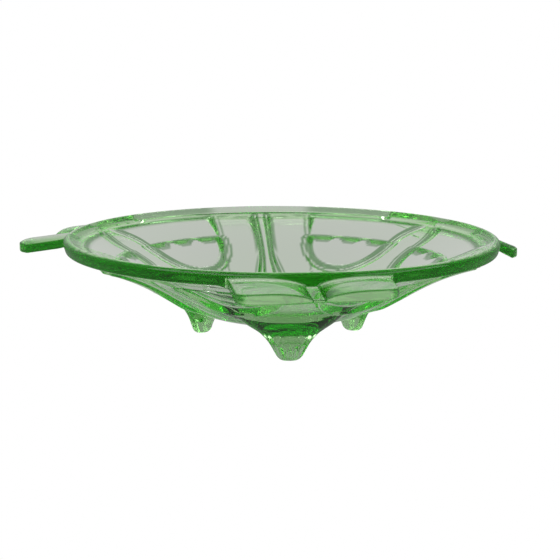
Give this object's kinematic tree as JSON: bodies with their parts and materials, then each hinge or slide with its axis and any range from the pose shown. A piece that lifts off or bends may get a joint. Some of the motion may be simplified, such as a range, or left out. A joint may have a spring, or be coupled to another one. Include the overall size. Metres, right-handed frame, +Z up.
{
  "type": "footed glass dish",
  "caption": "Shallow flared pressed-glass dish with open-book tab handles, stub feet, double ribs and petal panels.",
  "frame": {"origin": "centre of the flat floor of the well, on the dish's axis, 17.4 mm above the table the feet stand on", "axes": "+Z up along the bowl's axis, -Y through the middle of the front handle; the feet are turned two degrees out of line with the handles, and the handles droop by different amounts"},
  "size_m": [0.2712, 0.2515, 0.055],
  "materials": {
    "green_glass": "fire-polished transparent uranium-green pressed glass"
  },
  "bodies": {
    "root": {"bowl_body": "green_glass", "rim_band": "green_glass", "handle_front": "green_glass", "handle_right": "green_glass", "handle_left": "green_glass", "foot_front": "green_glass", "foot_right": "green_glass", "foot_left": "green_glass", "rib_pair_back": "green_glass", "rib_pair_left": "green_glass", "rib_pair_right": "green_glass"}
  },
  "joints": []
}
